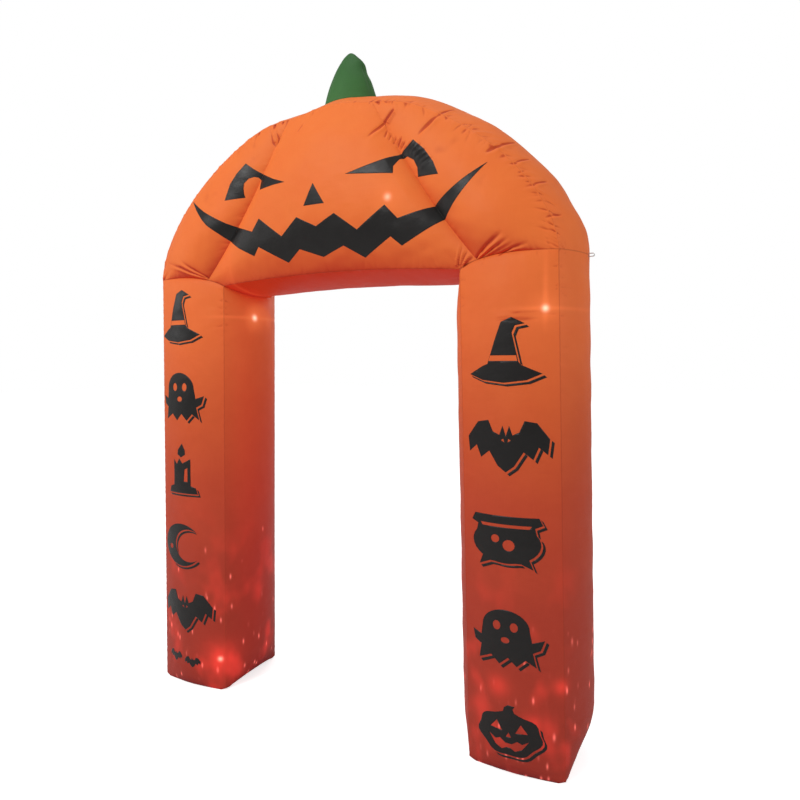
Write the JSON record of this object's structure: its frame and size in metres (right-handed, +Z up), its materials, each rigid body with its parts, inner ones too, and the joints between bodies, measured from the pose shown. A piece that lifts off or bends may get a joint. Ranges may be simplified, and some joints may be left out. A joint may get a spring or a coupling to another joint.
{
  "type": "inflatable halloween arch",
  "caption": "Fan-blown pumpkin walkway arch: square cloth legs, a domed head with a jack-o'-lantern face, a green stem, lamps inside, a vent zip and tether loops.",
  "frame": {"origin": "on the floor, midway between the legs and between the front and the back", "axes": "+Z up, -Y to the front with the face, +X to the right as seen from the front"},
  "size_m": [2.002, 0.5032, 2.7442],
  "materials": {
    "orange_cloth": "thin woven polyester, slightly shiny",
    "green_cloth": "thin woven polyester",
    "black_print": "satin print on cloth",
    "black_cloth": "woven zip tape",
    "white_webbing": "woven band",
    "dark_plastic": "moulded, matt",
    "clear_plastic": "clear, gloss",
    "plain_steel": "plain",
    "circuit_board": "coated board",
    "lead_rubber": "matt"
  },
  "bodies": {
    "arch": {"fan_bracket": "dark_plastic", "fan_clamp_ring": "dark_plastic", "fan_guard": "dark_plastic", "fan_housing": "dark_plastic", "fan_lamp_lead": "lead_rubber", "fan_motor": "plain_steel", "head_back": "orange_cloth", "head_front": "orange_cloth", "head_lamp_dome": "clear_plastic", "head_lamp_holder": "dark_plastic", "head_left_lead": "lead_rubber", "head_outer_strip": "orange_cloth", "head_soffit": "orange_cloth", "left_crown_web": "orange_cloth", "left_eye": "black_print", "left_lamp_dome": "clear_plastic", "left_lamp_holder": "dark_plastic", "left_leg_back": "orange_cloth", "left_leg_base": "orange_cloth", "left_leg_front": "orange_cloth", "left_leg_inner": "orange_cloth", "left_leg_outer": "orange_cloth", "left_shoulder_web": "orange_cloth", "left_spot_base": "dark_plastic", "left_spot_board": "circuit_board", "left_spot_lead": "lead_rubber", "left_spot_motor": "plain_steel", "left_tether_loop": "white_webbing", "left_tie": "orange_cloth", "mouth": "black_print", "nose": "black_print", "power_inlet": "dark_plastic", "right_crown_web": "orange_cloth", "right_eye": "black_print", "right_head_lead": "lead_rubber", "right_lamp_dome": "clear_plastic", "right_lamp_holder": "dark_plastic", "right_leg_back": "orange_cloth", "right_leg_base": "orange_cloth", "right_leg_front": "orange_cloth", "right_leg_inner": "orange_cloth", "right_leg_outer": "orange_cloth", "right_shoulder_web": "orange_cloth", "right_spot_base": "dark_plastic", "right_spot_board": "circuit_board", "right_spot_lead": "lead_rubber", "right_spot_motor": "plain_steel", "right_tether_loop": "white_webbing", "right_tie": "orange_cloth", "stem": "green_cloth", "zip_tape": "black_cloth"},
    "fan_rotor": {"fan_rotor": "dark_plastic"},
    "left_spot": {"left_spot_shaft": "plain_steel", "left_spot_dome": "clear_plastic"},
    "right_spot": {"right_spot_shaft": "plain_steel", "right_spot_dome": "clear_plastic"},
    "zip_slider": {"zip_slider": "plain_steel"},
    "zip_pull": {"zip_pull": "plain_steel"}
  },
  "joints": [
    {"name": "fan_spin", "type": "hinge", "parent": "arch", "child": "fan_rotor", "pos_m": [0.75283, 0.2053, 0.3], "axis": [0, 1, 0], "continuous": true},
    {"name": "left_spot_turn", "type": "hinge", "parent": "arch", "child": "left_spot", "pos_m": [-0.7585, 0, 0.05], "axis": [0, 0, 1], "continuous": true},
    {"name": "right_spot_turn", "type": "hinge", "parent": "arch", "child": "right_spot", "pos_m": [0.7585, 0, 0.05], "axis": [0, 0, 1], "continuous": true},
    {"name": "zip_slide", "type": "slide", "parent": "arch", "child": "zip_slider", "axis": [0.0189, 0, 0.9998], "range_m": [-0.328, 0.002]},
    {"name": "pull_swing", "type": "hinge", "parent": "zip_slider", "child": "zip_pull", "pos_m": [-0.74858, 0.23055, 0.52494], "axis": [0.9998, 0, -0.0189], "range_deg": [0, 170]}
  ]
}
